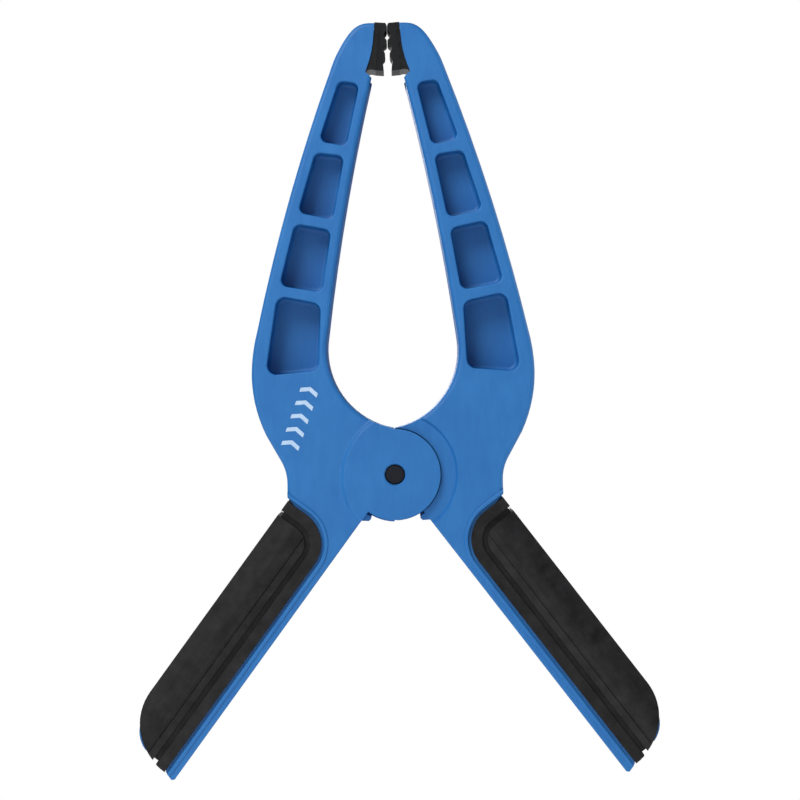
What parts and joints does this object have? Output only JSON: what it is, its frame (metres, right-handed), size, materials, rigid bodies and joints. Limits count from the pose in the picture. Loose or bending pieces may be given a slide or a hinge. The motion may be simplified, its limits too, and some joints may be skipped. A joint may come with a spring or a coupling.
{
  "type": "spring clamp",
  "caption": "Hand spring clamp with two deep nylon levers, soft grips, a coil torsion spring on one pivot pin, and toothed pads that rock in the jaw tips.",
  "frame": {"origin": "the point where the two pad faces meet when the jaws are closed, on the middle plane", "axes": "+Z along the clamp from the handles to the jaws, +X to the right seen from the front, +Y towards the rear"},
  "size_m": [0.1558, 0.0312, 0.2259],
  "materials": {
    "lever_nylon": "blue glass-filled nylon, fine spark texture",
    "grip_rubber": "charcoal soft overmould, fine matt texture",
    "pad_carrier": "black moulded nylon, glossy",
    "pad_rubber": "black soft pad, matt",
    "pin_steel": "black oxide steel",
    "spring_steel": "zinc plated spring wire"
  },
  "bodies": {
    "left_half": {"left_lever": "lever_nylon", "left_grip": "grip_rubber", "pivot_pin": "pin_steel", "torsion_spring": "spring_steel"},
    "right_half": {"right_lever": "lever_nylon", "right_grip": "grip_rubber"},
    "left_pad": {"left_pad_carrier": "pad_carrier", "left_pad_face": "pad_rubber"},
    "right_pad": {"right_pad_carrier": "pad_carrier", "right_pad_face": "pad_rubber"}
  },
  "joints": [
    {"name": "jaw_opening", "type": "hinge", "parent": "left_half", "child": "right_half", "pos_m": [0, 0, -0.1335], "axis": [0, 1, 0], "range_deg": [0, 40], "stiffness_Nm_per_rad": 4.2, "springref_deg": -25.78, "deforming": ["torsion_spring"]},
    {"name": "left_pad_swivel", "type": "hinge", "parent": "left_half", "child": "left_pad", "pos_m": [-0.0086, 0, -0.006], "axis": [0, 1, 0], "range_deg": [0, 16]},
    {"name": "right_pad_swivel", "type": "hinge", "parent": "right_half", "child": "right_pad", "pos_m": [0.0086, 0, -0.006], "axis": [0, 1, 0], "range_deg": [-16, 0]}
  ],
  "couplings": [
    {"joint": "left_pad_swivel", "follows": "jaw_opening", "ratio": 0.3875},
    {"joint": "right_pad_swivel", "follows": "jaw_opening", "ratio": -0.3875}
  ]
}
